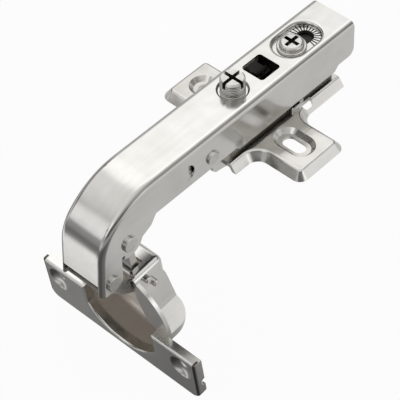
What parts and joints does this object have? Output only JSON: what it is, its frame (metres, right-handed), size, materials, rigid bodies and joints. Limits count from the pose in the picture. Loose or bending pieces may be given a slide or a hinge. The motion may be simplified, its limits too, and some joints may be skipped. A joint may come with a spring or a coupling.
{
  "type": "concealed cabinet hinge",
  "caption": "Soft-close corner hinge: pressed cross plate, cranked slide-on arm with a damper inside, links and a round door cup.",
  "frame": {"origin": "on the cabinet panel under the plate, half way between the two wing slots", "axes": "+X along the arm towards the door cup, +Y across the arm, +Z off the panel; drawn fully open"},
  "size_m": [0.1038, 0.0594, 0.0706],
  "materials": {
    "nickel": "bright nickel plate",
    "link_steel": "nickel plate, drawn",
    "screw_steel": "nickel plate, rolled thread",
    "rivet_steel": "nickel plate, smooth",
    "spring_steel": "drawn wire",
    "white_plastic": "natural acetal",
    "dark_plastic": "moulded",
    "grey_plastic": "moulded",
    "seal_rubber": "soft"
  },
  "bodies": {
    "plate": {"mounting_plate": "nickel"},
    "clamp_screw": {"fixing_screw": "screw_steel"},
    "arm": {"hinge_arm": "nickel", "upper_arm_rivet": "rivet_steel", "lower_arm_rivet": "rivet_steel", "rivet_spacers": "white_plastic", "closing_spring": "spring_steel", "spring_sleeve": "white_plastic", "damper_carrier": "dark_plastic", "damper_pin": "rivet_steel", "damper_cylinder": "grey_plastic", "damper_gland": "dark_plastic", "damper_seal": "seal_rubber", "damper_return_spring": "spring_steel"},
    "height_screw": {"adjusting_screw": "screw_steel"},
    "outer": {"outer_link": "link_steel"},
    "cup": {"hinge_cup": "nickel", "cup_pin": "rivet_steel"},
    "inner": {"inner_link": "link_steel"},
    "damper": {"damper_rod": "rivet_steel", "damper_piston": "white_plastic", "damper_pusher": "white_plastic"}
  },
  "joints": [
    {"name": "arm_depth", "type": "slide", "parent": "plate", "child": "arm", "axis": [1, 0, 0], "range_m": [0, 0.0045]},
    {"name": "clamp_screw_turn", "type": "hinge", "parent": "plate", "child": "clamp_screw", "pos_m": [-0.0172, 0, 0.0127], "axis": [0, 0, 1], "range_deg": [0, 360]},
    {"name": "height_screw_turn", "type": "hinge", "parent": "arm", "child": "height_screw", "pos_m": [0.0072, 0, 0.016], "axis": [0, 0, 1], "range_deg": [-360, 360]},
    {"name": "outer_link_turn", "type": "hinge", "parent": "arm", "child": "outer", "pos_m": [0.0637, 0, -0.0071], "axis": [0, 1, 0], "range_deg": [0, 30.64]},
    {"name": "cup_turn", "type": "hinge", "parent": "outer", "child": "cup", "pos_m": [0.04964, 0, -0.01865], "axis": [0, -1, 0], "range_deg": [0, 126.62]},
    {"name": "inner_link_turn", "type": "hinge", "parent": "cup", "child": "inner", "pos_m": [0.05245, 0, -0.01493], "axis": [0, 1, 0], "range_deg": [0, 137.93]},
    {"name": "damper_press", "type": "slide", "parent": "arm", "child": "damper", "axis": [-1, 0, 0], "range_m": [0, 0.004], "stiffness_N_per_m": 150, "springref_m": -0.002, "deforming": ["damper_return_spring"]}
  ],
  "couplings": [
    {"joint": "outer_link_turn", "follows": "cup_turn", "ratio": 0.24185},
    {"joint": "inner_link_turn", "follows": "cup_turn", "ratio": 1.0892}
  ]
}
